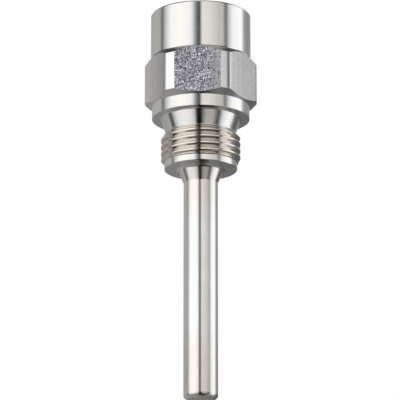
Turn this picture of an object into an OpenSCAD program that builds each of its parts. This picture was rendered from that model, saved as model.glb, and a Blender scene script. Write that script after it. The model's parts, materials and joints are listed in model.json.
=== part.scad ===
// Screw-in thermowell, turned and drilled from one piece of hexagon bar.
// It stands along Z with the stem down. Z = 0 is the sealing face under the collar, which lands on the
// process fitting. The flats of the hexagon face -Y and +Y.
// The threads are plain here: the process thread is its full diameter, the socket its core diameter.

/* [Head] */
// Diameter of the turned head above the hexagon
head_d = 26.5; // [24:0.1:26.8]
// Length of the head from the foot of the hexagon's upper chamfer to the top face
head_len = 12.7; // [10:0.1:60]
// Chamfer round the outside of the top face
head_chamfer = 0.4; // [0.1:0.1:1]

/* [Hexagon] */
// Width across the flats
hex_af = 27; // [27:0.5:36]
// Length between the collar and the head, with both chamfers
hex_len = 13; // [10:0.1:20]
// Width turned off across two opposite corners
corner_trim = 1.48; // [0.5:0.02:2.5]
// Slope of the upper corner chamfer away from the square, in degrees
upper_angle = 45; // [20:1:50]
// Slope of the lower corner chamfer away from the square, in degrees
lower_angle = 34; // [20:1:50]
// Tool radius left where the upper chamfer meets the head
hex_fillet = 0.8; // [0.2:0.1:1]

/* [Collar] */
// Diameter of the sealing collar
collar_d = 25.8; // [24:0.1:26.8]
// Height of the collar
collar_h = 3.3; // [2:0.1:6]
// Edge break round the sealing face
collar_edge = 0.1; // [0.05:0.05:0.5]
// Tool radius left where the lower chamfer meets the collar
collar_fillet = 0.2; // [0.1:0.1:0.8]

/* [Neck] */
// Diameter at which the neck's cone would meet the sealing face
neck_top_d = 21.3; // [19:0.1:22]
// Smallest diameter of the neck
neck_d = 18.2; // [17:0.1:18.6]
// Depth of the smallest diameter below the sealing face
neck_len = 4; // [2.5:0.1:6]
// Tool radius in the corner under the sealing face
neck_fillet = 0.3; // [0.3:0.1:1.5]
// Tool radius at the smallest diameter
neck_nose = 0.4; // [0.1:0.1:0.8]

/* [Process thread] */
// Full diameter of the parallel pipe thread, G 1/2
thread_d = 20.955; // [20.67:0.005:20.955]
// Length of the cone from the neck to the full diameter
lead_len = 1.4; // [1:0.1:3]
// Length at the full diameter
thread_len = 5.9; // [4:0.1:30]
// Length of the cone from the full diameter to the pilot
shoulder_len = 0.9; // [0.3:0.1:2]
// Diameter of the pilot below the thread
pilot_d = 19.2; // [18.7:0.1:20]
// Length of the pilot down to the end face
pilot_len = 1.7; // [1.5:0.1:5]
// Radius round the edge of the end face
end_round = 0.3; // [0.3:0.1:1.3]

/* [Stem] */
// Diameter of the stem
stem_d = 9; // [8.6:0.1:12]
// Depth of the tip below the sealing face
immersion = 75.5; // [50:0.5:250]
// Radius round the edge of the tip
tip_round = 1.1; // [0.3:0.1:3]
// Widening of the stem's radius at the root, over the root cone
root_flare = 1.5; // [0.8:0.1:2]
// Length of the root cone
root_len = 3.6; // [2:0.1:6]
// Tool radius where the root cone meets the end face
root_fillet = 1; // [0.5:0.1:2]

/* [Sensor socket] */
// Core diameter of the socket's parallel pipe thread, G 1/2
socket_core_d = 18.631; // [18.631:0.005:19.171]
// Diameter of the chamfer at the socket's mouth
socket_mouth_d = 21.8; // [21:0.1:23]
// Depth of the socket below the top face
socket_depth = 17; // [14:0.5:19]
// Diameter of the thread relief at the socket's floor
relief_d = 21.4; // [21:0.1:22]
// Width of the thread relief
relief_w = 2.6; // [1.5:0.1:4]

/* [Probe bore] */
// Diameter of the bore that takes the probe
bore_d = 7; // [3:0.1:7]
// Diameter of the lead-in cone at the socket's floor
lead_in_d = 11; // [8:0.1:14]
// Metal left between the point of the bore and the tip
tip_wall = 4; // [2:0.5:10]
// Point angle of the drill that leaves the end of the bore
drill_angle = 118; // [90:1:140]

/* [Hidden] */
$fn = 96;
head_r = head_d / 2;
collar_r = collar_d / 2;
thread_r = thread_d / 2;
pilot_r = pilot_d / 2;
stem_r = stem_d / 2;
bore_r = bore_d / 2;
socket_core_r = socket_core_d / 2;
corner_r = hex_af / cos(30) / 2 - corner_trim / 2;
hex_top = collar_h + hex_len;
head_top = hex_top + head_len;
socket_floor = head_top - socket_depth;
thread_top = -neck_len - lead_len;
thread_end = thread_top - thread_len;
pilot_top = thread_end - shoulder_len;
end_face = pilot_top - pilot_len;
// A cut that leaves through a face runs this far past it, and a fillet this far into the metal
past = 1;
// A radius bites this far into the walls it joins, so that it always meets them
bite = 0.001;
// Corners of the outside where a radius is added or cut, as [radius, height]
head_foot = [head_r, hex_top];
collar_corner = [collar_r, collar_h];
seal_edge = [collar_r - collar_edge, 0];
neck_corner = [neck_top_d / 2, 0];
neck_low = [neck_d / 2, -neck_len];
crest_corner = [thread_r, thread_top];
pilot_corner = [pilot_r, pilot_top];
end_corner = [pilot_r, end_face];
root_corner = [stem_r + root_flare, end_face];
stem_corner = [stem_r, end_face - root_len];
tip_corner = [stem_r, -immersion];
tip_centre = [0, -immersion];

function unit(v) = v / norm(v);

// Direction in which the middle of the corner p opens, between the edges that run to a and to b
function opening(p, a, b) = unit(unit(a - p) + unit(b - p));

// Centre of a radius r in the corner
function centre(p, a, b, r) = p + opening(p, a, b) * (r - bite) / sin(acos(unit(a - p) * opening(p, a, b)));

// Foot of the square line from c to the edge that runs from p to a, and a tenth further
function beyond(c, p, a) = c + 1.1 * (p + unit(a - p) * ((c - p) * unit(a - p)) - c);

// What lies between a corner and its radius: added in an inside corner, cut from an outside one
module corner_piece(p, a, b, r) {
    c = centre(p, a, b, r);
    difference() {
        polygon([p - opening(p, a, b) * past, beyond(c, p, a), c, beyond(c, p, b)]);
        translate(c)
            circle(r);
    }
}

// Half section of everything that is turned, apart from the hexagon
module turned_section() {
    difference() {
        union() {
            polygon([
                [0, head_top],
                [head_r - head_chamfer, head_top],
                [head_r, head_top - head_chamfer],
                head_foot,
                collar_corner,
                [collar_r, collar_edge],
                seal_edge,
                neck_corner,
                neck_low,
                crest_corner,
                [thread_r, thread_end],
                pilot_corner,
                end_corner,
                root_corner,
                stem_corner,
                tip_corner,
                tip_centre
            ]);
            corner_piece(neck_corner, seal_edge, neck_low, neck_fillet);
            corner_piece(neck_low, neck_corner, crest_corner, neck_nose);
            corner_piece(root_corner, end_corner, stem_corner, root_fillet);
        }
        corner_piece(end_corner, pilot_corner, root_corner, end_round);
        corner_piece(tip_corner, stem_corner, tip_centre, tip_round);
    }
}

// Half section of the bar where the hexagon's corners are turned off, with a chamfer at each end
module corner_turning_section() {
    upper = [corner_r, hex_top - (corner_r - head_r) * tan(upper_angle)];
    lower = [corner_r, collar_h + (corner_r - collar_r) * tan(lower_angle)];
    polygon([[0, hex_top], head_foot, upper, lower, collar_corner, [0, collar_h]]);
    corner_piece(head_foot, [head_r, head_top], upper, hex_fillet);
    corner_piece(collar_corner, [collar_r, 0], lower, collar_fillet);
}

// The hexagon: the bar's flats inside the turned corners, so that each flat ends in two arches
module hexagon() {
    intersection() {
        linear_extrude(height = head_top)
            circle(r = hex_af / 2 / cos(30), $fn = 6);
        rotate_extrude()
            corner_turning_section();
    }
}

// Half section of the hollow: threaded socket, relief, lead-in cone and probe bore with its drill point
module hollow_section() {
    mouth_r = socket_mouth_d / 2;
    relief_r = relief_d / 2;
    relief_top = socket_floor + relief_w;
    lead_in_r = lead_in_d / 2;
    point = tip_wall - immersion;
    polygon([
        [0, head_top + past],
        [mouth_r, head_top + past],
        [mouth_r, head_top],
        [socket_core_r, head_top - (mouth_r - socket_core_r)],
        [socket_core_r, relief_top + (relief_r - socket_core_r)],
        [relief_r, relief_top],
        [relief_r, socket_floor],
        [lead_in_r, socket_floor],
        [bore_r, socket_floor - (lead_in_r - bore_r)],
        [bore_r, point + bore_r / tan(drill_angle / 2)],
        [0, point]
    ]);
}

module thermowell() {
    color([0.72, 0.71, 0.69])
        difference() {
            union() {
                rotate_extrude()
                    turned_section();
                hexagon();
            }
            rotate_extrude()
                hollow_section();
        }
}

thermowell();
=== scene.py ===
"""Screw-in thermowell in turned steel: its cut threads, its finishes, the camera and a round studio.

Everything is in metres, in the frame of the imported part: Z is the axis, with the stem down, and Z = 0 is the
sealing face under the collar. An azimuth is counted from -Y, where a flat of the hexagon faces, towards +X.
"""

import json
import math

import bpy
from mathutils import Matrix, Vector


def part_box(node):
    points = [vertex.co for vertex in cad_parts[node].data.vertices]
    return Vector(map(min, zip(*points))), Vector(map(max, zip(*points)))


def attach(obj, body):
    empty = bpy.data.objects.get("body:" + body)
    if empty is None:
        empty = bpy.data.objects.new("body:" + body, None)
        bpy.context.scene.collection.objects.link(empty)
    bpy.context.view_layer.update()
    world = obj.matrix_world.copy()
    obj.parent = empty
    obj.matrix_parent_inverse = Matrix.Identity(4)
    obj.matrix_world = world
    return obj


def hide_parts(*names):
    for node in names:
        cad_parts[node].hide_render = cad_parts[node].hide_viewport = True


bl_info = {
    "name": "Screw-in Thermowell",
    "version": (1, 0, 0),
    "blender": (4, 5, 0),
    "location": "3D View > Sidebar > Thermowell",
    "description": "A thermowell turned from hexagon bar, with both its threads, its finishes and a studio",
    "category": "Add Mesh",
}

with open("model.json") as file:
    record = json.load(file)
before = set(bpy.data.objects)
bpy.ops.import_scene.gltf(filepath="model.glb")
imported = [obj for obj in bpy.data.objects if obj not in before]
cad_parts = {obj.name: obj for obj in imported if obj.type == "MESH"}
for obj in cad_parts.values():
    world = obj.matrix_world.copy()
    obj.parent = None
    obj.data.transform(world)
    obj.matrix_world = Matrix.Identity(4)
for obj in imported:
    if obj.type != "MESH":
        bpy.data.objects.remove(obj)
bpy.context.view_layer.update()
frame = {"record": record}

MM = 0.001
NODE = "thermowell"
LOWEST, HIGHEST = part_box(NODE)
CORNER_RADIUS = HIGHEST[0]
MOUNTS = {mount["name"]: mount for mount in frame["record"]["mounts"]}
THREAD_RADIUS = MOUNTS["process_thread"]["dims"]["r_mm"] * MM
THREAD_LENGTH = MOUNTS["process_thread"]["dims"]["length_mm"] * MM
THREAD_TOP = MOUNTS["process_thread"]["pos_m"][2] + THREAD_LENGTH / 2
SOCKET_RADIUS = MOUNTS["sensor_thread"]["dims"]["r_mm"] * MM
BORE_RADIUS = MOUNTS["probe_bore"]["dims"]["r_mm"] * MM
HALF_FLATS = -MOUNTS["spanner_flat"]["pos_m"][1]

# Half of the point angle of the drill that made the bore
DRILL_HALF_ANGLE = math.radians(59)
# Flats of the hexagon
SIDES = 6
# What else shapes a row of the outline, apart from being turned
PLAIN, HEXAGON, OUTER_THREAD, INNER_THREAD = range(4)
# Finishes, which the outline knows by their place here
FINISHES = ("stem", "turned", "thread", "flat", "corner", "bore")

# Shares of the pitch in a Whitworth thread of 55 degrees, and how steeply its flanks fall
THREAD_DEPTH = 0.640327
THREAD_ROUNDING = 0.137329
FLANK_FALL = 1 / math.tan(math.radians(27.5))
# Distance from a crest's middle to where its rounding meets the flank
ROUNDING_REACH = THREAD_ROUNDING * math.cos(math.radians(27.5))


def length(name, value, description):
    """A size in metres that the sidebar shows."""
    return bpy.props.FloatProperty(
        name=name, description=description, default=value, unit="LENGTH", precision=6
    )


def factor(name, value, description):
    """A number from 0 to 1 that the sidebar shows as a slider."""
    return bpy.props.FloatProperty(
        name=name, description=description, default=value, min=0, max=1, subtype="FACTOR"
    )


def angle(name, degrees, description):
    """An angle that the sidebar shows."""
    return bpy.props.FloatProperty(
        name=name, description=description, default=math.radians(degrees), subtype="ANGLE"
    )


def colour(name, value, description):
    """A colour that the sidebar shows."""
    return bpy.props.FloatVectorProperty(
        name=name, description=description, default=value, min=0, max=1, size=3, subtype="COLOR"
    )


class WellSizes(bpy.types.PropertyGroup):
    """Sizes of the thermowell that no other part fits; the rest come from the frame's mounts."""

    head_radius: length("Head radius", 13.25 * MM, "Radius of the turned head")
    head_chamfer: length("Head chamfer", 0.4 * MM, "Chamfer round the top face")
    hex_top: length("Hexagon top", 16.3 * MM, "Height where the upper chamfer would meet the head")
    upper_angle: angle("Upper chamfer", 45, "Slope of the hexagon's upper chamfer away from the square")
    lower_angle: angle("Lower chamfer", 34, "Slope of the hexagon's lower chamfer away from the square")
    hex_fillet: length("Hexagon fillet", 0.8 * MM, "Tool radius under the head")
    collar_radius: length("Collar radius", 12.9 * MM, "Radius of the sealing collar")
    collar_height: length("Collar height", 3.3 * MM, "Height of the sealing collar")
    collar_edge: length("Collar edge", 0.1 * MM, "Edge break round the sealing face")
    collar_fillet: length("Collar fillet", 0.2 * MM, "Tool radius above the collar")
    neck_top_radius: length("Neck top radius", 10.65 * MM, "Radius of the neck's cone at the sealing face")
    neck_radius: length("Neck radius", 9.1 * MM, "Smallest radius of the neck")
    neck_length: length("Neck length", 4 * MM, "Depth of the neck's smallest radius")
    neck_fillet: length("Neck fillet", 0.3 * MM, "Tool radius under the sealing face")
    neck_nose: length("Neck nose", 0.4 * MM, "Tool radius at the neck's smallest radius")
    shoulder: length("Shoulder", 0.9 * MM, "Length of the cone from the thread to the pilot")
    pilot_radius: length("Pilot radius", 9.6 * MM, "Radius of the plain end below the thread")
    pilot_length: length("Pilot length", 1.7 * MM, "Length of the plain end below the thread")
    end_round: length("End round", 0.3 * MM, "Radius round the end face")
    stem_radius: length("Stem radius", 4.5 * MM, "Radius of the stem")
    root_flare: length("Root flare", 1.5 * MM, "Widening of the stem at its root")
    root_length: length("Root length", 3.6 * MM, "Length of the cone at the stem's root")
    root_fillet: length("Root fillet", 1.0 * MM, "Tool radius between the root and the end face")
    root_blend: length("Root blend", 1.0 * MM, "Radius that eases the root cone into the stem")
    tip_round: length("Tip round", 1.1 * MM, "Radius round the tip")
    mouth_radius: length("Mouth radius", 10.9 * MM, "Radius of the chamfer at the socket's mouth")
    socket_depth: length("Socket depth", 17 * MM, "Depth of the socket's floor")
    relief_radius: length("Relief radius", 10.7 * MM, "Radius of the relief under the socket's thread")
    relief_width: length("Relief width", 2.6 * MM, "Width of the relief under the socket's thread")
    lead_in_radius: length("Lead-in radius", 5.5 * MM, "Radius of the cone that leads a probe in")
    tip_wall: length("Tip wall", 4 * MM, "Metal between the point of the bore and the tip")
    edge_break: length("Edge break", 0.07 * MM, "Radius left on every turned edge")


class ThreadSizes(bpy.types.PropertyGroup):
    """The pipe thread that is cut round the well and in its socket, 14 turns to the inch."""

    pitch: length("Pitch", 25.4 / 14 * MM, "Distance from one turn to the next")
    crest_height: length("Crest height", -5.567 * MM, "Height of a crest at azimuth 0")
    crest_cut: length("Crest cut", 0.13 * MM, "How much a turning cut flattens the outer thread's crests")
    runout_height: length("Run-out height", -11.8 * MM, "Height where the last groove starts to fade")
    runout_length: length("Run-out length", 0.9 * MM, "Length over which the last groove fades")


class MeshSteps(bpy.types.PropertyGroup):
    """How finely the mesh is divided."""

    plain: length("Plain step", 4 * MM, "Longest step along a plain stretch of the outline")
    hexagon: length("Hexagon step", 1.4 * MM, "Step along the outline of the hexagon")
    outer_thread: length("Thread step", 0.064 * MM, "Step along the outline of the outer thread")
    inner_thread: length("Socket step", 0.13 * MM, "Step along the outline of the socket's thread")
    beside_edge: length("Step beside an edge", 0.05 * MM, "Step that keeps a rounded edge's shading short")
    flat_columns: bpy.props.IntProperty(
        name="Flat columns", description="Columns across one flat", default=22, min=4
    )
    land_columns: bpy.props.IntProperty(
        name="Land columns", description="Columns across one turned corner", default=5, min=2
    )
    edge_column: angle("Edge column", 0.3, "Width of the columns that round an upright edge")


class SteelLooks(bpy.types.PropertyGroup):
    """Colours and gloss of the steel."""

    steel: colour("Steel", (0.80, 0.79, 0.775), "Colour of the turned steel")
    polished: colour("Polished steel", (0.845, 0.845, 0.845), "Colour of the stem's polished middle")
    warm: colour("Warm steel", (0.80, 0.755, 0.71), "Colour of the steel where it is faintly tinted")
    corner: colour("Corners", (0.84, 0.87, 0.885), "Colour of the hexagon's turned corners")
    # Painted shade: the grooves take a darker colour than the crests, for the shade that falls into the thread
    groove: colour("Groove shade", (0.74, 0.69, 0.64), "Colour of the steel at the bottom of a thread")
    # A flat's colour runs between its dark and light colours with its grain and streaks, and on the side flats
    # also with painted shade and light
    flat: colour("Flats", (0.86, 0.86, 0.87), "Colour of the drawn flats where they shine")
    flat_dark: colour("Dark flats", (0.36, 0.36, 0.37), "Colour of the drawn flats where they are dull")
    frosted: colour("Frosted flat", (0.92, 0.92, 1.0), "Colour of the frosted flat's bright grains")
    frosted_dark: colour("Frosted flat's dark", (0.185, 0.185, 0.225), "Colour of the frosted flat's dark grains")
    turned_roughness: factor("Turned roughness", 0.16, "Roughness of the turned faces")
    thread_roughness: factor("Thread roughness", 0.1, "Roughness of the outer thread")
    corner_roughness: factor("Corner roughness", 0.11, "Roughness of the hexagon's turned corners")
    stem_roughness: factor("Stem roughness", 0.2, "Roughness of the polished stem")
    flat_roughness: factor("Flat roughness", 0.3, "Roughness of the drawn flats")
    grain_lean: factor("Grain lean", 0.36, "How far the grains of a frosted flat lean")
    rubbed_grain: factor("Rubbed grain", 0.15, "Share of the grain that is left on a rubbed flat")
    band_spacing: length("Band spacing", 7.6 * MM, "Distance between two pale bands of the frosted flat")
    bore_roughness: factor("Bore roughness", 0.34, "Roughness inside the socket and the bore")


class StageSettings(bpy.types.PropertyGroup):
    """Camera and studio."""

    view_azimuth: angle("View azimuth", 3.3, "Direction in which the camera stands")
    view_elevation: angle("View elevation", -16.2, "Height of the camera; it looks up from below")
    view_distance: length("View distance", 0.8, "Distance from the camera to its target")
    target_height: length("Target height", -22 * MM, "Height on the axis that the camera looks at")
    lens: bpy.props.FloatProperty(
        name="Lens", description="Focal length in millimetres", default=274.4
    )
    shift: bpy.props.FloatProperty(
        name="Shift", description="Sideways shift of the picture", default=-0.001875, precision=6
    )
    studio_radius: length("Studio radius", 1.6, "Radius of the round studio wall")
    floor_depth: length("Floor depth", 1.9, "Depth of the studio floor under the sealing face")
    ceiling_height: length("Ceiling height", 2.8, "Height of the studio ceiling")
    card_depth: length("Card depth", 0.6, "Depth of the grey card under the well")
    card_radius: length("Card radius", 0.72, "Radius of the grey card under the well")
    dim_level: factor("Dim level", 0.045, "Brightness of the card's middle and of the wall's top")


# Node trees ---------------------------------------------------------------------------------------------


class Field:
    """An output socket that can be added, multiplied and so on; each operation adds one Math node."""

    def __init__(self, tree, socket):
        self.tree = tree
        self.socket = socket

    def math(self, operation, *others):
        node = self.tree.nodes.new("ShaderNodeMath")
        node.operation = operation
        for socket, value in zip(node.inputs, (self, *others)):
            join(self.tree, value, socket)
        return Field(self.tree, node.outputs[0])

    def __add__(self, other):
        return self.math("ADD", other)

    def __sub__(self, other):
        return self.math("SUBTRACT", other)

    def __mul__(self, other):
        return self.math("MULTIPLY", other)

    def __truediv__(self, other):
        return self.math("DIVIDE", other)

    def __mod__(self, other):
        return self.math("FLOORED_MODULO", other)

    def __abs__(self):
        return self.math("ABSOLUTE")

    def smaller(self, other):
        return self.math("MINIMUM", other)

    def larger(self, other):
        return self.math("MAXIMUM", other)

    def clamped(self):
        return self.larger(0.0).smaller(1.0)

    def whole(self):
        return self.math("FLOOR")

    def root(self):
        return self.math("SQRT")

    def above(self, other):
        return self.math("GREATER_THAN", other)

    def equals(self, number):
        return self.math("COMPARE", float(number), 0.5)


def blend(share, low, high):
    """low where the share is 0 and high where it is 1."""
    return node(share.tree, "ShaderNodeMix", "Result", {"Factor": share, "A": low, "B": high})


def socket_named(sockets, name):
    """The enabled socket of that name, since a node keeps one for each type of data."""
    return next(socket for socket in sockets if socket.name == name and socket.enabled)


def join(tree, value, socket):
    """Links a field to a socket, or sets the socket to a plain value."""
    if isinstance(value, Field):
        tree.links.new(value.socket, socket)
    else:
        socket.default_value = value


def node(tree, kind, output, inputs=None, **settings):
    """Adds a node with its settings and its inputs by name, and gives the field of the named output."""
    added = tree.nodes.new(kind)
    for name, value in settings.items():
        setattr(added, name, value)
    for name, value in (inputs or {}).items():
        join(tree, value, socket_named(added.inputs, name))
    return Field(tree, socket_named(added.outputs, output))


def split(tree, vector):
    """The three numbers of a vector."""
    x = node(tree, "ShaderNodeSeparateXYZ", "X", {"Vector": vector})
    y, z = (Field(tree, x.socket.node.outputs[axis]) for axis in "YZ")
    return x, y, z


def combined(tree, x, y, z):
    """The vector of three numbers."""
    return node(tree, "ShaderNodeCombineXYZ", "Vector", {"X": x, "Y": y, "Z": z})


def new_tree(name, kind, inputs, outputs):
    """A node group with typed inputs and outputs: gives the tree, its inputs by name and its output node."""
    tree = bpy.data.node_groups.new(name, kind)
    for in_out, sockets in (("INPUT", inputs), ("OUTPUT", outputs)):
        for label, socket_type in sockets.items():
            tree.interface.new_socket(name=label, in_out=in_out, socket_type="NodeSocket" + socket_type)
    entry = tree.nodes.new("NodeGroupInput")
    given = {label: Field(tree, entry.outputs[label]) for label in inputs}
    return tree, given, tree.nodes.new("NodeGroupOutput")


# Outline and ring ---------------------------------------------------------------------------------------


def rounded(corner, before, after, radius, most_turn=math.radians(18)):
    """Points of the arc that rounds a corner, in steps that turn by most_turn at the most."""
    here = Vector(corner)
    to_before = (Vector(before) - here).normalized()
    to_after = (Vector(after) - here).normalized()
    turn = math.pi - to_before.angle(to_after)
    reach = radius * math.tan(turn / 2)
    centre = here + (to_before + to_after).normalized() * radius / math.cos(turn / 2)
    start = here + to_before * reach - centre
    finish = here + to_after * reach - centre
    steps = max(2, math.ceil(turn / most_turn))
    shares = [step / steps for step in range(steps + 1)]
    return [
        centre + (start * math.sin((1 - share) * turn) + finish * math.sin(share * turn)) / math.sin(turn)
        for share in shares
    ]


def well_corners(sizes):
    """Corners of the half section, each as (radius, height, rounding, finish, part).

    They run from the middle of the tip up the outside, over the top face and down the bore. The finish and the
    part are those of the stretch that leaves the corner.
    """
    top = HIGHEST[2]
    thread_end = THREAD_TOP - THREAD_LENGTH
    pilot_top = thread_end - sizes.shoulder
    end_face = pilot_top - sizes.pilot_length
    floor = top - sizes.socket_depth
    relief_top = floor + sizes.relief_width
    point = LOWEST[2] + sizes.tip_wall
    edge = sizes.edge_break
    lower_rise = (CORNER_RADIUS - sizes.collar_radius) * math.tan(sizes.lower_angle)
    upper_drop = (CORNER_RADIUS - sizes.head_radius) * math.tan(sizes.upper_angle)
    return (
        (0, LOWEST[2], 0, "stem", PLAIN),
        (sizes.stem_radius, LOWEST[2], sizes.tip_round, "stem", PLAIN),
        (sizes.stem_radius, end_face - sizes.root_length, sizes.root_blend, "stem", PLAIN),
        (sizes.stem_radius + sizes.root_flare, end_face, sizes.root_fillet, "turned", PLAIN),
        (sizes.pilot_radius, end_face, sizes.end_round, "turned", OUTER_THREAD),
        (sizes.pilot_radius, pilot_top, edge, "thread", OUTER_THREAD),
        (THREAD_RADIUS, thread_end, edge, "thread", OUTER_THREAD),
        (THREAD_RADIUS, THREAD_TOP, edge, "thread", OUTER_THREAD),
        (sizes.neck_radius, -sizes.neck_length, sizes.neck_nose, "turned", PLAIN),
        (sizes.neck_top_radius, 0, sizes.neck_fillet, "turned", PLAIN),
        (sizes.collar_radius - sizes.collar_edge, 0, edge, "turned", PLAIN),
        (sizes.collar_radius, sizes.collar_edge, edge, "turned", PLAIN),
        (sizes.collar_radius, sizes.collar_height, sizes.collar_fillet, "turned", HEXAGON),
        (CORNER_RADIUS, sizes.collar_height + lower_rise, edge, "flat", HEXAGON),
        (CORNER_RADIUS, sizes.hex_top - upper_drop, edge, "turned", HEXAGON),
        (sizes.head_radius, sizes.hex_top, sizes.hex_fillet, "turned", PLAIN),
        (sizes.head_radius, top - sizes.head_chamfer, edge, "turned", PLAIN),
        (sizes.head_radius - sizes.head_chamfer, top, edge, "turned", PLAIN),
        (sizes.mouth_radius, top, edge, "bore", INNER_THREAD),
        (SOCKET_RADIUS, top - sizes.mouth_radius + SOCKET_RADIUS, edge, "bore", INNER_THREAD),
        (SOCKET_RADIUS, relief_top + sizes.relief_radius - SOCKET_RADIUS, edge, "bore", INNER_THREAD),
        (sizes.relief_radius, relief_top, edge, "bore", PLAIN),
        (sizes.relief_radius, floor, 2 * edge, "bore", PLAIN),
        (sizes.lead_in_radius, floor, edge, "bore", PLAIN),
        (BORE_RADIUS, floor - sizes.lead_in_radius + BORE_RADIUS, 2 * edge, "bore", PLAIN),
        (BORE_RADIUS, point + BORE_RADIUS / math.tan(DRILL_HALF_ANGLE), 2 * edge, "bore", PLAIN),
        (0, point, 0, "bore", PLAIN),
    )


def stretch_shares(span, step, beside_edge):
    """Where the points of a straight stretch lie, from 0 up to but not including 1."""
    count = max(1, math.ceil(span / step))
    shares = [number / count for number in range(count)]
    if span / count > 3 * beside_edge:
        shares[1:1] = [beside_edge / span]
        shares.append(1 - beside_edge / span)
    return shares


def well_outline(sizes, steps):
    """Points of the outline, each as (radius, height, number of the finish, part)."""
    corners = well_corners(sizes)
    step_of = {
        PLAIN: steps.plain,
        HEXAGON: steps.hexagon,
        OUTER_THREAD: steps.outer_thread,
        INNER_THREAD: steps.inner_thread,
    }
    arcs = [[Vector(corners[0][:2])]]
    for before, here, after in zip(corners, corners[1:], corners[2:]):
        arcs.append(rounded(here[:2], before[:2], after[:2], here[2]))
    arcs.append([Vector(corners[-1][:2])])
    points = []
    part_before = PLAIN
    for (*_, finish_name, part), arc, next_arc in zip(corners, arcs, arcs[1:]):
        finish = FINISHES.index(finish_name)
        arc_part = part if part == part_before else PLAIN
        points += [(*point, finish, arc_part) for point in arc[:-1]]
        start = arc[-1]
        goal = next_arc[0]
        for share in stretch_shares((goal - start).length, step_of[part], steps.beside_edge):
            points.append((*start.lerp(goal, share), finish, part))
        part_before = part
    points.append((*arcs[-1][0], finish, PLAIN))
    return points


def ring_columns(steps):
    """Columns round the axis, each as (azimuth, 1 if the turned corner follows it); the last closes the ring."""
    half_flat = math.acos(HALF_FLATS / CORNER_RADIUS)
    sector = 2 * math.pi / SIDES
    edge = steps.edge_column
    flat_span = 2 * (half_flat - edge)
    land_span = sector - 2 * (half_flat + edge)
    columns = []
    for side in range(SIDES):
        middle = side * sector
        for number in range(steps.flat_columns):
            columns.append((middle - flat_span / 2 + flat_span * number / steps.flat_columns, 0))
        columns.append((middle + flat_span / 2, 0))
        columns.append((middle + half_flat, 1))
        for number in range(steps.land_columns + 1):
            share = number / steps.land_columns
            columns.append((middle + half_flat + edge + land_span * share, 1))
        columns.append((middle + sector - half_flat, 0))
    columns.append((SIDES * sector - flat_span / 2, 0))
    return columns


def point_object(name, places, attributes):
    """An object of loose points with named attributes, each as (type, values)."""
    mesh = bpy.data.meshes.new(name)
    mesh.from_pydata(places, [], [])
    for label, (kind, values) in attributes.items():
        mesh.attributes.new(label, kind, "POINT").data.foreach_set("value", values)
    holder = bpy.data.objects.new(name, mesh)
    bpy.context.scene.collection.objects.link(holder)
    return holder


# The body as a rule: outline times ring, squeezed to the hexagon and cut by the threads --------------------


def sampled(tree, geometry, field, kind, index):
    """The value that a field has at a point of another geometry."""
    return node(
        tree, "GeometryNodeSampleIndex", "Value",
        {"Geometry": geometry, "Value": field, "Index": index}, data_type=kind,
    )


def attribute(tree, name, kind):
    return node(tree, "GeometryNodeInputNamedAttribute", "Attribute", {"Name": name}, data_type=kind)


def thread_surface(azimuth, height, given):
    """Radius of the thread's surface: rounded crests and roots joined by straight flanks, rising to the right."""
    pitch = given["Pitch"]
    turns = (height - given["Crest Height"]) / pitch - azimuth / (2 * math.pi)
    from_crest = abs(turns - (turns + 0.5).whole())
    above_middle = from_crest * -1.0 + 0.25
    inward = abs(above_middle) * -1.0 + 0.25
    arc = inward.smaller(ROUNDING_REACH)
    fall = (arc * arc * -1.0 + THREAD_ROUNDING**2).root() * -1.0 + THREAD_ROUNDING
    fall = fall + (inward - ROUNDING_REACH).larger(0.0) * FLANK_FALL
    rise = (fall * -1.0 + THREAD_DEPTH / 2) * above_middle.math("SIGN")
    return given["Thread Radius"] + (rise - THREAD_DEPTH / 2) * pitch


def cut_threads(radius, height, azimuth, part, given):
    """Radius of the surface once the outer thread and the socket's thread are cut into it."""
    surface = thread_surface(azimuth, height, given)
    fade = ((height * -1.0 + given["Run-out Height"]) / given["Run-out Length"]).clamped()
    outer = radius.smaller(surface + given["Crest Cut"] + fade * given["Pitch"])
    inner = radius.larger(surface)
    radius = blend(part.equals(OUTER_THREAD), radius, outer)
    return blend(part.equals(INNER_THREAD), radius, inner)


def squeeze_to_hexagon(tree, radius, height, azimuth, part, given):
    """Radius and height once the flats are cut: each chamfer keeps its slope and ends where it meets the flat."""
    sector = 2 * math.pi / SIDES
    from_flat = azimuth - (azimuth / sector + 0.5).whole() * sector
    corner = given["Corner Radius"]
    flat = given["Half Flats"] / from_flat.math("COSINE")
    column = flat.math("SMOOTH_MIN", corner, given["Edge Break"])
    lower_radius, lower_slope, lower_height = split(tree, given["Lower Foot"])
    upper_radius, upper_slope, upper_height = split(tree, given["Upper Foot"])
    half_span = (upper_height - lower_height) * 0.5
    is_upper = height.above(lower_height + half_span)
    foot_radius = blend(is_upper, lower_radius, upper_radius)
    foot_height = blend(is_upper, lower_height, upper_height)
    inwards = is_upper * -2.0 + 1.0
    chamfer = (corner - foot_radius) * blend(is_upper, lower_slope, upper_slope)
    squeeze = (column - foot_radius) / (corner - foot_radius)
    from_foot = (height - foot_height) * inwards
    on_chamfer = (from_foot / chamfer).clamped()
    on_side = ((from_foot - chamfer) / (half_span - chamfer)).clamped()
    new_chamfer = chamfer * squeeze
    climb = on_chamfer * new_chamfer + on_side * (half_span - new_chamfer)
    squeezed_radius = foot_radius + (radius - foot_radius) * squeeze
    squeezed_height = foot_height + climb * inwards
    is_hexagon = part.equals(HEXAGON)
    return blend(is_hexagon, radius, squeezed_radius), blend(is_hexagon, height, squeezed_height)


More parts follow.
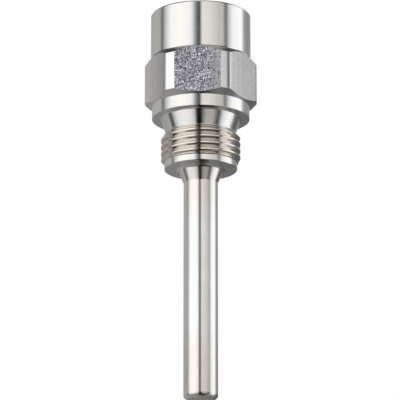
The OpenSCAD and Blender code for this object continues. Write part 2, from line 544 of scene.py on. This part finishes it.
def turned_body_tree():
    """Geometry nodes that turn an outline round the axis, on the columns of a ring."""
    inputs = {
        "Outline": "Geometry",
        "Ring": "Object",
        "Half Flats": "Float",
        "Corner Radius": "Float",
        "Edge Break": "Float",
        "Lower Foot": "Vector",
        "Upper Foot": "Vector",
        "Pitch": "Float",
        "Thread Radius": "Float",
        "Crest Height": "Float",
        "Crest Cut": "Float",
        "Run-out Height": "Float",
        "Run-out Length": "Float",
    }
    inputs.update({material_name(finish): "Material" for finish in FINISHES})
    tree, given, end = new_tree("Turned Body", "GeometryNodeTree", inputs, {"Body": "Geometry"})
    outline = given["Outline"]
    ring = node(tree, "GeometryNodeObjectInfo", "Geometry", {"Object": given["Ring"]})
    rows = node(tree, "GeometryNodeAttributeDomainSize", "Point Count", {"Geometry": outline})
    columns = node(tree, "GeometryNodeAttributeDomainSize", "Point Count", {"Geometry": ring})
    sheet = node(tree, "GeometryNodeMeshGrid", "Mesh", {"Vertices X": columns, "Vertices Y": rows})
    index = node(tree, "GeometryNodeInputIndex", "Index")
    position = node(tree, "GeometryNodeInputPosition", "Position")
    row = index % rows
    column = (index / rows).whole()

    face_row = index % (rows - 1.0)
    face_column = (index / (rows - 1.0)).whole()
    finish = sampled(tree, outline, attribute(tree, "finish", "INT"), "INT", face_row)
    on_land = sampled(tree, ring, attribute(tree, "land", "INT"), "INT", face_column)
    on_corner = on_land * finish.equals(FINISHES.index("flat"))
    finish = blend(on_corner, finish, float(FINISHES.index("corner")))
    sheet = node(
        tree, "GeometryNodeStoreNamedAttribute", "Geometry",
        {"Geometry": sheet, "Name": "finish", "Value": finish}, data_type="INT", domain="FACE",
    )

    radius, _, height = split(tree, sampled(tree, outline, position, "FLOAT_VECTOR", row))
    part = sampled(tree, outline, attribute(tree, "part", "INT"), "INT", row)
    azimuth = sampled(tree, ring, attribute(tree, "azimuth", "FLOAT"), "FLOAT", column)
    radius, height = squeeze_to_hexagon(tree, radius, height, azimuth, part, given)
    radius = cut_threads(radius, height, azimuth, part, given)
    place = combined(tree, radius * azimuth.math("SINE"), radius * azimuth.math("COSINE") * -1.0, height)
    body = node(tree, "GeometryNodeSetPosition", "Geometry", {"Geometry": sheet, "Position": place})
    body = node(tree, "GeometryNodeMergeByDistance", "Geometry", {"Geometry": body, "Distance": 0.001 * MM})
    body = node(tree, "GeometryNodeSetShadeSmooth", "Geometry", {"Geometry": body, "Shade Smooth": True})
    body = node(tree, "GeometryNodeRealizeInstances", "Geometry", {"Geometry": body})
    stored = attribute(tree, "finish", "INT")
    for number, finish_name in enumerate(FINISHES):
        body = node(
            tree, "GeometryNodeSetMaterial", "Geometry",
            {
                "Geometry": body,
                "Selection": stored.equals(number),
                "Material": given[material_name(finish_name)],
            },
        )
    join(tree, body, end.inputs["Body"])
    return tree


def set_inputs(modifier, values):
    """Sets a modifier's inputs, which it knows by their sockets' identifiers."""
    for item in modifier.node_group.interface.items_tree:
        if item.in_out == "INPUT" and item.name in values:
            modifier[item.identifier] = values[item.name]


def foot_of_chamfer(radius, height, fillet, slope, rise):
    """Radius, steepness and height of a chamfer, where the tool radius at its foot ends."""
    reach = fillet * math.tan((math.pi / 2 - slope) / 2)
    return (radius + reach * math.cos(slope), math.tan(slope), height + rise * reach * math.sin(slope))


# Finishes -----------------------------------------------------------------------------------------------


def material_name(finish):
    return finish.capitalize() + " Steel"


def object_place(tree):
    """The place on the part, in metres."""
    return node(tree, "ShaderNodeTexCoord", "Object")


def noise(tree, place, scale, detail=2.0):
    return node(
        tree, "ShaderNodeTexNoise", "Fac", {"Vector": place, "Scale": scale, "Detail": detail}
    )


def turned_rings_group():
    """Fine rings that a turning tool leaves, with slow patches of brighter and duller cut."""
    tree, given, end = new_tree(
        "Turned Rings", "ShaderNodeTree", {"Rings per Metre": "Float"}, {"Height": "Float", "Patches": "Float"}
    )
    place = object_place(tree)
    x, y, z = split(tree, place)
    radius = (x * x + y * y).root()
    rings = combined(tree, radius * given["Rings per Metre"], z * given["Rings per Metre"], 0.0)
    join(tree, noise(tree, rings, 1.0, 3.0), end.inputs["Height"])
    join(tree, noise(tree, place, 220.0), end.inputs["Patches"])
    return tree


def drawn_streaks_group():
    """Faint streaks along the bar."""
    tree, given, end = new_tree(
        "Drawn Streaks", "ShaderNodeTree", {"Streaks per Metre": "Float"}, {"Height": "Float"}
    )
    x, y, z = split(tree, object_place(tree))
    across = given["Streaks per Metre"]
    streaks = combined(tree, x * across, y * across, z * across * 0.03)
    join(tree, noise(tree, streaks, 1.0, 3.0), end.inputs["Height"])
    return tree


def soft_band_group():
    """1 between two heights and 0 beyond them, with a soft border."""
    tree, given, end = new_tree(
        "Soft Band", "ShaderNodeTree", {"Low": "Float", "High": "Float", "Softness": "Float"}, {"Mask": "Float"}
    )
    *_, z = split(tree, object_place(tree))
    from_low = ((z - given["Low"]) / given["Softness"] + 0.5).clamped()
    from_high = ((given["High"] - z) / given["Softness"] + 0.5).clamped()
    join(tree, from_low * from_high, end.inputs["Mask"])
    return tree


def vector_math(tree, operation, first, second):
    """The vector that an operation makes of two; a scaling takes a number as its second."""
    added = tree.nodes.new("ShaderNodeVectorMath")
    added.operation = operation
    join(tree, first, added.inputs[0])
    join(tree, second, added.inputs["Scale" if operation == "SCALE" else 1])
    return Field(tree, added.outputs[0])


def frosted_grain_group():
    """Small facets that each lean their own way, as on etched or blasted bar."""
    tree, given, end = new_tree(
        "Frosted Grain", "ShaderNodeTree",
        {"Grains per Metre": "Float", "Lean": "Float"}, {"Normal": "Vector", "Tone": "Float"},
    )
    place = object_place(tree)
    grains = given["Grains per Metre"]
    cells = node(tree, "ShaderNodeTexVoronoi", "Color", {"Vector": place, "Scale": grains})
    lean = vector_math(tree, "SUBTRACT", cells, (0.5, 0.5, 0.5))
    lean = vector_math(tree, "SCALE", lean, given["Lean"])
    normal = node(tree, "ShaderNodeNewGeometry", "Normal")
    leaning = vector_math(tree, "ADD", normal, lean)
    join(tree, vector_math(tree, "NORMALIZE", leaning, (0, 0, 0)), end.inputs["Normal"])
    join(tree, noise(tree, place, grains, 3.0), end.inputs["Tone"])
    return tree


def flat_place_group():
    """How far a point of a flat lies from its middle line, and the flat's number: 0 faces -Y, 1 follows to +X."""
    tree, _, end = new_tree("Flat Place", "ShaderNodeTree", {}, {"Across": "Float", "Side": "Float"})
    x, y, _ = split(tree, object_place(tree))
    azimuth = x.math("ARCTAN2", y * -1.0)
    sector = 2 * math.pi / SIDES
    side = (azimuth / sector + 0.5).whole()
    join(tree, (azimuth - side * sector).math("TANGENT") * HALF_FLATS, end.inputs["Across"])
    join(tree, side, end.inputs["Side"])
    return tree


def painted_groove_shade_group():
    """Painted shade for the thread's grooves: 0 at a radius and beyond it, and 1 from a depth below it."""
    tree, given, end = new_tree(
        "Thread Depth", "ShaderNodeTree", {"Radius": "Float", "Depth": "Float"}, {"Mask": "Float"}
    )
    x, y, _ = split(tree, object_place(tree))
    below = given["Radius"] - (x * x + y * y).root()
    join(tree, (below / given["Depth"]).clamped(), end.inputs["Mask"])
    return tree


def group_field(tree, group, inputs, output):
    """A group's output, with the group placed with its own values."""
    placed = tree.nodes.new("ShaderNodeGroup")
    placed.node_tree = group
    for name, value in inputs.items():
        join(tree, value, placed.inputs[name])
    return Field(tree, placed.outputs[output])


def mixed_colour(tree, share, first, second):
    """A colour between two."""
    mix = tree.nodes.new("ShaderNodeMix")
    mix.data_type = "RGBA"
    join(tree, share, socket_named(mix.inputs, "Factor"))
    for name, value in (("A", first), ("B", second)):
        join(tree, value, socket_named(mix.inputs, name))
    return Field(tree, socket_named(mix.outputs, "Result"))


def rgba(value):
    return (*value, 1.0)


def new_metal(finish):
    """A material with a bare metal shader: gives the material, its tree and the shader."""
    material = bpy.data.materials.new(material_name(finish))
    material.use_nodes = True
    tree = material.node_tree
    shader = next(item for item in tree.nodes if item.type == "BSDF_PRINCIPLED")
    shader.inputs["Metallic"].default_value = 1.0
    return material, tree, shader


def bumped(tree, height, depth):
    """The normal of a surface that rises and falls by about a depth in metres."""
    return node(tree, "ShaderNodeBump", "Normal", {"Height": height, "Distance": depth, "Strength": 1.0})


def turned_material(finish, looks, roughness, groups, tint=None, rings=9000.0, depth=0.4e-6):
    """Steel as a turning tool leaves it: fine rings, bright, with a blur that runs along the axis."""
    material, tree, shader = new_metal(finish)
    height = group_field(tree, groups["rings"], {"Rings per Metre": rings}, "Height")
    patches = Field(tree, height.socket.node.outputs["Patches"])
    base = tint(tree) if tint else rgba(looks.steel)
    join(tree, base, shader.inputs["Base Color"])
    join(tree, (patches - 0.5) * 0.12 + roughness, shader.inputs["Roughness"])
    shader.inputs["Anisotropic"].default_value = 0.5
    shader.inputs["Anisotropic Rotation"].default_value = 0.25
    join(tree, bumped(tree, height, depth), shader.inputs["Normal"])
    return material


def flat_material(looks, groups):
    """Steel with the skin of drawn bar: one flat is frosted and the others are rubbed smooth, with painted shade
    and light that make each of them lighter or darker and grade it across its width.
    """
    material, tree, shader = new_metal("flat")
    across = group_field(tree, groups["place"], {}, "Across")
    side = Field(tree, across.socket.node.outputs["Side"])
    smooth = abs(side).smaller(1.0)
    rubbed = ((across - 3.2 * MM) / MM + 0.5).clamped()
    bands = (across * (2 * math.pi / looks.band_spacing) + 2.15).math("COSINE")
    grain = blend(smooth, (rubbed * -0.5 + 1.0) * (bands * -0.35 + 1.0), looks.rubbed_grain)
    normal = group_field(
        tree, groups["grain"], {"Grains per Metre": 3590.0, "Lean": grain * looks.grain_lean}, "Normal"
    )
    tone = Field(tree, normal.socket.node.outputs["Tone"])
    streaks = group_field(tree, groups["streaks"], {"Streaks per Metre": 1400.0}, "Height")
    tone = (tone - 0.5) * grain * 10.0 + (streaks - 0.5) * 0.5
    turn = side.larger(-1.0).smaller(1.0)
    # Painted shade and light on the side flats: those at negative azimuth are made lighter, those at positive
    # azimuth darker, and each darkens across its width as the azimuth rises
    side_flat_painted_shade = turn * -0.15 - across * (turn * -25.0 + 40.0) + 0.05
    level = blend(smooth, bands * 0.11 + across * 16.0 + rubbed * 0.1 - 0.05, side_flat_painted_shade)
    tone = (tone + level + 0.5).clamped()
    dark = mixed_colour(tree, smooth, rgba(looks.frosted_dark), rgba(looks.flat_dark))
    light = mixed_colour(tree, smooth, rgba(looks.frosted), rgba(looks.flat))
    join(tree, mixed_colour(tree, tone, dark, light), shader.inputs["Base Color"])
    shader.inputs["Roughness"].default_value = looks.flat_roughness
    join(tree, normal, shader.inputs["Normal"])
    return material


def make_finishes(looks):
    """The steel's materials, by finish."""
    groups = {
        "rings": turned_rings_group(),
        "streaks": drawn_streaks_group(),
        "band": soft_band_group(),
        "grain": frosted_grain_group(),
        "place": flat_place_group(),
        "depth": painted_groove_shade_group(),
    }

    def stem_tint(tree):
        root = group_field(tree, groups["band"], {"Low": -26 * MM, "High": 0.0, "Softness": 8 * MM}, "Mask")
        tip = group_field(tree, groups["band"], {"Low": -0.1, "High": -60 * MM, "Softness": 6 * MM}, "Mask")
        return mixed_colour(tree, (root + tip).clamped() * 0.7, rgba(looks.polished), rgba(looks.warm))

    def corner_tint(tree):
        return rgba(looks.corner)

    def thread_tint_and_groove_shade(tree):
        # Painted shade: the thread's colour darkens from its crests down to the bottom of its grooves
        depth = group_field(tree, groups["depth"], {"Radius": THREAD_RADIUS, "Depth": 1.1 * MM}, "Mask")
        return mixed_colour(tree, depth, rgba(looks.warm), rgba(looks.groove))

    return {
        "stem": turned_material("stem", looks, looks.stem_roughness, groups, stem_tint),
        "turned": turned_material("turned", looks, looks.turned_roughness, groups),
        "thread": turned_material("thread", looks, looks.thread_roughness, groups, thread_tint_and_groove_shade),
        "flat": flat_material(looks, groups),
        "corner": turned_material("corner", looks, looks.corner_roughness, groups, corner_tint),
        "bore": turned_material("bore", looks, looks.bore_roughness, groups, None, 3000.0, 2e-6),
    }


# Studio -------------------------------------------------------------------------------------------------

# Tints of the studio's light
NEUTRAL = (1.0, 1.0, 1.0)
WARM = (1.04, 1.0, 0.96)
COOL = (0.96, 1.0, 1.02)
GREENISH = (0.95, 1.02, 0.99)
OLIVE = (1.01, 1.01, 0.92)
# Brightness of the studio wall: degrees to the right of the camera as seen from the well, the light that the
# wall gives at its top, high above the well, a little above it, level with it and below it, and the light's tint
WALL_STATIONS = (
    (-180, 0.20, 0.42, 0.40, 0.26, 0.32, NEUTRAL),
    (-150, 0.18, 0.44, 0.40, 0.34, 0.34, NEUTRAL),
    (-120, 0.16, 0.50, 0.44, 0.42, 0.31, WARM),
    (-110, 0.14, 0.50, 0.46, 0.44, 0.33, NEUTRAL),
    (-106, 0.05, 0.38, 0.46, 0.34, 0.32, OLIVE),
    (-103, 0.03, 0.19, 0.42, 0.10, 0.28, OLIVE),
    (-99, 0.03, 0.17, 0.40, 0.08, 0.24, OLIVE),
    (-95, 0.10, 0.36, 0.50, 0.10, 0.24, OLIVE),
    (-92, 0.22, 0.55, 0.60, 0.28, 0.24, NEUTRAL),
    (-84, 0.75, 0.86, 0.88, 0.66, 0.24, COOL),
    (-73, 1.18, 1.15, 1.22, 0.98, 0.24, NEUTRAL),
    (-50, 1.32, 1.20, 1.32, 1.05, 0.24, WARM),
    (-30, 1.25, 1.14, 1.26, 0.95, 0.22, NEUTRAL),
    (-21, 1.12, 1.05, 1.20, 0.75, 0.18, NEUTRAL),
    (-17, 0.62, 0.68, 1.00, 0.50, 0.10, COOL),
    (-13, 0.30, 0.38, 0.72, 0.07, 0.02, COOL),
    (-9, 0.10, 0.19, 0.22, 0.002, 0.003, COOL),
    (-5, 0.03, 0.07, 0.08, 0.002, 0.003, NEUTRAL),
    (-1, 0.03, 0.05, 0.08, 0.002, 0.003, NEUTRAL),
    (1, 0.42, 0.80, 0.72, 0.01, 0.01, WARM),
    (5, 0.62, 1.02, 0.90, 0.15, 0.02, WARM),
    (12, 0.64, 0.95, 0.88, 0.38, 0.03, WARM),
    (20, 0.62, 0.90, 0.86, 0.52, 0.04, WARM),
    (36, 0.50, 0.74, 0.74, 0.48, 0.04, WARM),
    (40, 0.44, 0.66, 0.71, 0.43, 0.04, WARM),
    (53, 0.22, 0.64, 0.70, 0.10, 0.04, WARM),
    (58, 0.04, 0.14, 0.54, 0.10, 0.05, NEUTRAL),
    (62, 0.03, 0.24, 0.60, 0.36, 0.08, NEUTRAL),
    (67, 0.15, 0.60, 0.80, 0.66, 0.20, COOL),
    (71, 0.62, 0.86, 1.00, 0.87, 0.28, COOL),
    (80, 1.20, 1.12, 1.14, 1.04, 0.30, NEUTRAL),
    (95, 1.25, 1.22, 1.22, 1.22, 0.30, NEUTRAL),
    (105, 0.60, 1.27, 1.24, 1.10, 0.26, NEUTRAL),
    (110, 0.30, 1.22, 1.10, 0.62, 0.16, NEUTRAL),
    (117, 0.12, 0.50, 0.50, 0.20, 0.11, NEUTRAL),
    (124, 0.30, 0.37, 0.37, 0.15, 0.12, GREENISH),
    (131, 0.45, 0.33, 0.33, 0.13, 0.44, GREENISH),
    (140, 0.50, 0.30, 0.30, 0.12, 0.24, GREENISH),
    (180, 0.42, 0.42, 0.42, 0.15, 0.14, NEUTRAL),
)
# How bright a row is, as a place in a station's list; the dim level is the same all round
TOP, HIGH, LOW, LEVEL, BELOW, DIM = range(6)
# Heights of the wall's rows as angles seen from the well, with the brightness that each row takes
WALL_ROWS = (
    (-50, BELOW), (-38, BELOW), (-26, LEVEL), (2, LEVEL), (9.5, LOW), (14.3, LOW), (15.4, HIGH), (23, HIGH),
    (27, TOP), (39, TOP), (47, DIM), (60, DIM),
)
# Rows of the card under the well: share of its radius and brightness
CARD_ROWS = ((0.001, DIM), (0.05, DIM), (0.3, BELOW), (1.0, BELOW))


def glowing_material(name):
    """Gives off the colour stored on the mesh, and plain white to the camera."""
    material = bpy.data.materials.new(name)
    material.use_nodes = True
    tree = material.node_tree
    tree.nodes.clear()
    glow = node(tree, "ShaderNodeAttribute", "Color", attribute_name="glow")
    seen = node(tree, "ShaderNodeLightPath", "Is Camera Ray")
    light = node(tree, "ShaderNodeEmission", "Emission", {"Color": mixed_colour(tree, seen, glow, (1, 1, 1, 1))})
    end = tree.nodes.new("ShaderNodeOutputMaterial")
    join(tree, light, end.inputs["Surface"])
    return material


def floor_material(settings):
    """A pale floor, which the camera sees as white with a trace of shadow."""
    material = bpy.data.materials.new("Pale Floor")
    material.use_nodes = True
    tree = material.node_tree
    tree.nodes.clear()
    matt = node(tree, "ShaderNodeBsdfDiffuse", "BSDF", {"Color": (0.8, 0.8, 0.8, 1)})
    white = node(tree, "ShaderNodeEmission", "Emission", {"Color": (1, 1, 1, 1)})
    seen = node(tree, "ShaderNodeLightPath", "Is Camera Ray") * 0.93
    mix = tree.nodes.new("ShaderNodeMixShader")
    join(tree, seen, mix.inputs[0])
    join(tree, matt, mix.inputs[1])
    join(tree, white, mix.inputs[2])
    end = tree.nodes.new("ShaderNodeOutputMaterial")
    tree.links.new(mix.outputs[0], end.inputs["Surface"])
    return material


def stage_mesh(name, places, faces, material, glow=None):
    """A mesh that belongs to the studio."""
    mesh = bpy.data.meshes.new(name)
    mesh.from_pydata(places, [], faces)
    if glow:
        layer = mesh.attributes.new("glow", "FLOAT_COLOR", "POINT")
        layer.data.foreach_set("color", [part for shade in glow for part in (*shade, 1.0)])
    mesh.materials.append(material)
    piece = bpy.data.objects.new(name, mesh)
    bpy.context.scene.collection.objects.link(piece)
    return piece


def round_panel(name, settings, rows):
    """A round sheet of light with narrow dark gaps; its rows are given as (radius, height, brightness)."""
    places = []
    glow = []
    for degrees, *levels, tint in WALL_STATIONS:
        azimuth = settings.view_azimuth + math.radians(degrees)
        levels.append(settings.dim_level)
        for radius, height, level in rows:
            places.append((radius * math.sin(azimuth), -radius * math.cos(azimuth), height))
            glow.append([levels[level] * part for part in tint])
    count = len(rows)
    faces = []
    for station in range(len(WALL_STATIONS) - 1):
        for row in range(count - 1):
            first = station * count + row
            faces.append((first, first + 1, first + count + 1, first + count))
    return stage_mesh(name, places, faces, glowing_material(name.replace("_", " ").title()), glow)


def studio_wall(settings):
    """The round wall, with soft panels of light."""
    radius = settings.studio_radius
    rows = [(radius, radius * math.tan(math.radians(turn)), level) for turn, level in WALL_ROWS]
    return round_panel("studio_wall", settings, rows)


def grey_card(settings):
    """The card under the well, which only its steel sees."""
    rows = [(settings.card_radius * share, -settings.card_depth, level) for share, level in CARD_ROWS]
    card = round_panel("grey_card", settings, rows)
    card.visible_camera = False


def disc(name, radius, height, material, glow=None, sides=48):
    """A flat disc of the studio, facing up."""
    turns = [2 * math.pi * number / sides for number in range(sides)]
    places = [(radius * math.sin(turn), -radius * math.cos(turn), height) for turn in turns]
    shades = [(glow, glow, glow)] * sides if glow else None
    return stage_mesh(name, places, [tuple(range(sides))], material, shades)


def place_camera(settings):
    """The camera looks up at the well from below, with a long lens."""
    camera_data = bpy.data.cameras.new("Camera")
    camera_data.lens = settings.lens
    camera_data.shift_x = settings.shift
    camera = bpy.data.objects.new("Camera", camera_data)
    bpy.context.scene.collection.objects.link(camera)
    level = math.cos(settings.view_elevation)
    back = Vector(
        (
            math.sin(settings.view_azimuth) * level,
            -math.cos(settings.view_azimuth) * level,
            math.sin(settings.view_elevation),
        )
    )
    camera.location = Vector((0, 0, settings.target_height)) + back * settings.view_distance
    camera.rotation_mode = "QUATERNION"
    camera.rotation_quaternion = (-back).to_track_quat("-Z", "Y")
    bpy.context.scene.camera = camera


# Operators ----------------------------------------------------------------------------------------------


class OBJECT_OT_thermowell_stage(bpy.types.Operator):
    """Make the camera, the floor and the round studio"""

    bl_idname = "object.thermowell_stage"
    bl_label = "Studio and Camera"

    def execute(self, context):
        settings = context.scene.thermowell_stage
        context.scene.view_settings.view_transform = "Standard"
        place_camera(settings)
        studio_wall(settings)
        disc("floor", 1.2 * settings.studio_radius, -settings.floor_depth, floor_material(settings))
        disc(
            "studio_ceiling", 1.2 * settings.studio_radius, settings.ceiling_height,
            glowing_material("Studio Ceiling"), 0.45,
        )
        grey_card(settings)
        return {"FINISHED"}


class OBJECT_OT_thermowell_body(bpy.types.Operator):
    """Turn the well, cut its flats and threads, and give each face its finish"""

    bl_idname = "object.thermowell_body"
    bl_label = "Thermowell"

    def execute(self, context):
        sizes = context.scene.thermowell_sizes
        threads = context.scene.thermowell_threads
        steps = context.scene.thermowell_steps
        outline = well_outline(sizes, steps)
        columns = ring_columns(steps)
        body = point_object(
            "turned_well",
            [(radius, 0, height) for radius, height, _, _ in outline],
            {
                "finish": ("INT", [finish for _, _, finish, _ in outline]),
                "part": ("INT", [part for _, _, _, part in outline]),
            },
        )
        ring = point_object(
            "ring",
            [(math.sin(azimuth), -math.cos(azimuth), 0) for azimuth, _ in columns],
            {
                "azimuth": ("FLOAT", [azimuth for azimuth, _ in columns]),
                "land": ("INT", [land for _, land in columns]),
            },
        )
        finishes = make_finishes(context.scene.thermowell_looks)
        values = {
            "Ring": ring,
            "Half Flats": HALF_FLATS,
            "Corner Radius": CORNER_RADIUS,
            "Edge Break": sizes.edge_break,
            "Lower Foot": foot_of_chamfer(
                sizes.collar_radius, sizes.collar_height, sizes.collar_fillet, sizes.lower_angle, 1
            ),
            "Upper Foot": foot_of_chamfer(
                sizes.head_radius, sizes.hex_top, sizes.hex_fillet, sizes.upper_angle, -1
            ),
            "Pitch": threads.pitch,
            "Thread Radius": THREAD_RADIUS,
            "Crest Height": threads.crest_height,
            "Crest Cut": threads.crest_cut,
            "Run-out Height": threads.runout_height,
            "Run-out Length": threads.runout_length,
        }
        values.update({material_name(finish): material for finish, material in finishes.items()})
        modifier = body.modifiers.new("Turned Body", "NODES")
        modifier.node_group = turned_body_tree()
        set_inputs(modifier, values)
        finish_mesh(body)
        bpy.data.objects.remove(ring)
        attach(body, "root")
        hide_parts(NODE)
        return {"FINISHED"}


def finish_mesh(piece):
    """Turns a piece's modifiers into a plain mesh."""
    depsgraph = bpy.context.evaluated_depsgraph_get()
    mesh = bpy.data.meshes.new_from_object(
        piece.evaluated_get(depsgraph), preserve_all_data_layers=True, depsgraph=depsgraph
    )
    if not mesh.polygons:
        raise RuntimeError(piece.name + " came out empty")
    piece.modifiers.clear()
    piece.data = mesh
    mesh.name = piece.name
    mesh.attributes.remove(mesh.attributes["finish"])
    if not mesh.materials[0]:
        mesh.materials.pop(index=0)


class VIEW3D_PT_thermowell(bpy.types.Panel):
    """Lists the steps that build the thermowell and their values"""

    bl_idname = "VIEW3D_PT_thermowell"
    bl_label = "Thermowell"
    bl_space_type = "VIEW_3D"
    bl_region_type = "UI"
    bl_category = "Thermowell"

    def draw(self, context):
        for operator, group_names in STEPS:
            box = self.layout.box()
            box.operator(operator)
            for group_name in group_names:
                group = getattr(context.scene, group_name)
                for name in type(group).__annotations__:
                    box.prop(group, name)


STEPS = (
    ("object.thermowell_stage", ("thermowell_stage",)),
    ("object.thermowell_body", ("thermowell_sizes", "thermowell_threads", "thermowell_steps", "thermowell_looks")),
)
SETTINGS = {
    "thermowell_sizes": WellSizes,
    "thermowell_threads": ThreadSizes,
    "thermowell_steps": MeshSteps,
    "thermowell_looks": SteelLooks,
    "thermowell_stage": StageSettings,
}
CLASSES = (
    *SETTINGS.values(),
    OBJECT_OT_thermowell_stage,
    OBJECT_OT_thermowell_body,
    VIEW3D_PT_thermowell,
)


def register():
    for cls in CLASSES:
        bpy.utils.register_class(cls)
    for name, group in SETTINGS.items():
        setattr(bpy.types.Scene, name, bpy.props.PointerProperty(type=group))


def unregister():
    for name in SETTINGS:
        delattr(bpy.types.Scene, name)
    for cls in reversed(CLASSES):
        bpy.utils.unregister_class(cls)


def main():
    """Builds everything."""
    register()
    bpy.ops.object.thermowell_stage()
    bpy.ops.object.thermowell_body()


if __name__ == "__main__":
    main()
